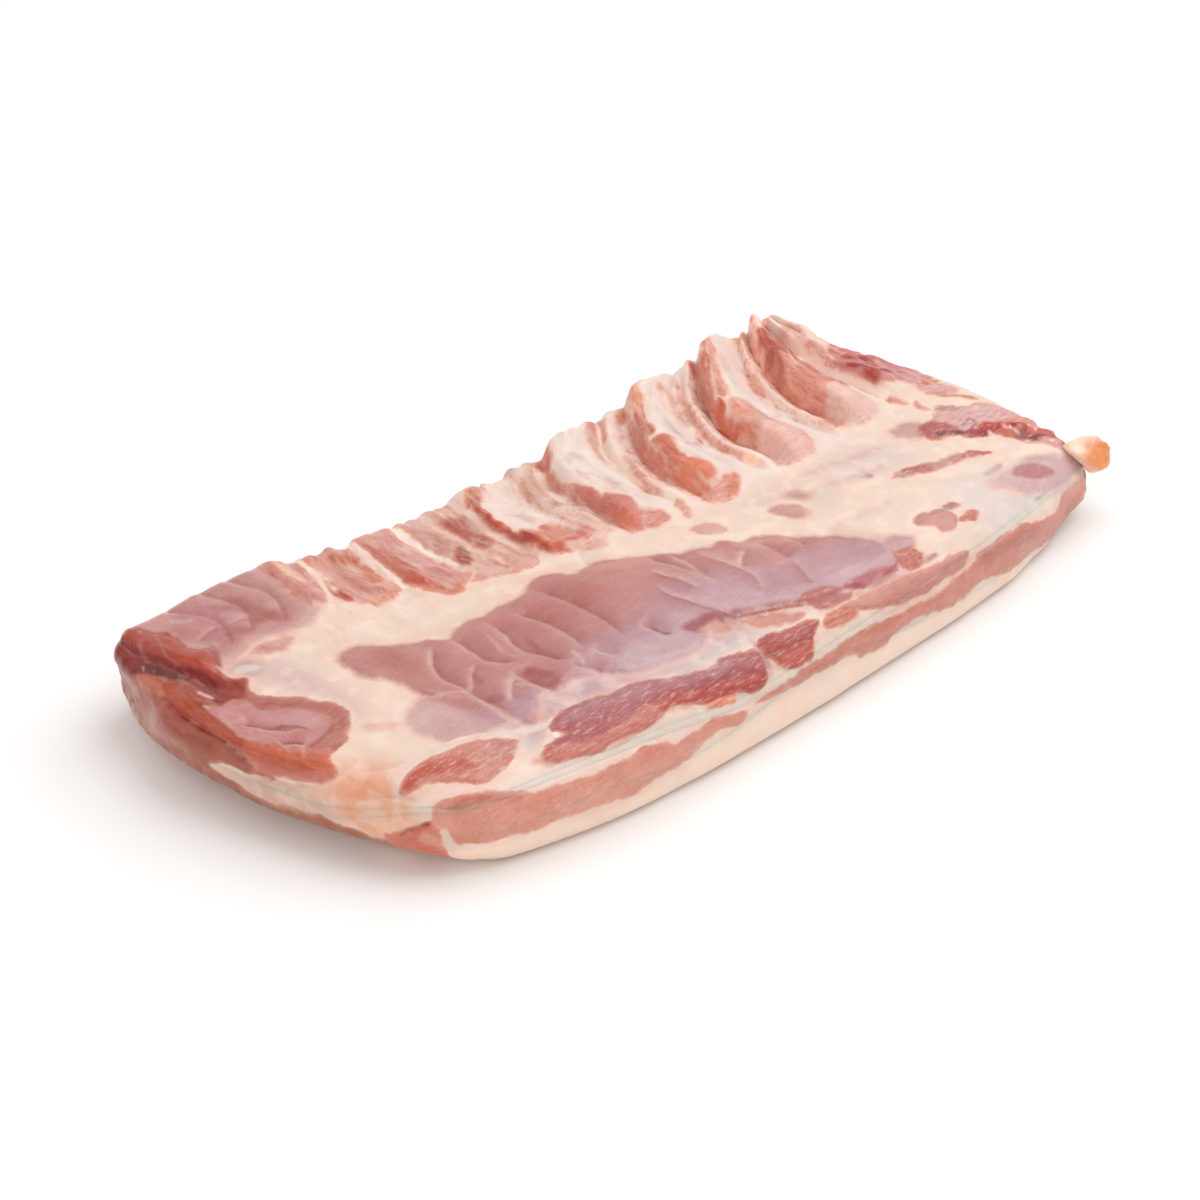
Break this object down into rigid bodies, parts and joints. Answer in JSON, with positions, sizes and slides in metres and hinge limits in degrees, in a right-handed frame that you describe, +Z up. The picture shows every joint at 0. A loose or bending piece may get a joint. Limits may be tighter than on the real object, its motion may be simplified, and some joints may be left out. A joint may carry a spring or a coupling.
{
  "type": "raw boneless pork belly slab",
  "caption": "Raw slab of boned pork belly lying rind down, with fingers of rib meat, a scored-looking lean muscle, fat bands and a striped cut side.",
  "frame": {"origin": "middle of the bounding box in plan, on the surface that the slab lies on", "axes": "+X along the slab towards the end with the cartilage stub, +Y towards the rib edge, +Z up, out of the rib side"},
  "size_m": [0.4894, 0.2384, 0.0573],
  "materials": {
    "back_fat": "raw back fat with its rind under it, pale cream, moist and smooth",
    "lean_sheet": "raw lean meat, salmon to rose, moist, with fine grain along the slab",
    "seam_fat": "soft seam fat, cream, moist",
    "rib_side": "raw rib side, mauve and red muscle between cream fat bands under a wet membrane",
    "cartilage_stub": "orange-pink rib cartilage, wet"
  },
  "bodies": {
    "root": {"back_fat": "back_fat", "lean_sheet": "lean_sheet", "seam_fat": "seam_fat", "rib_side": "rib_side", "cartilage_stub": "cartilage_stub"}
  },
  "joints": []
}
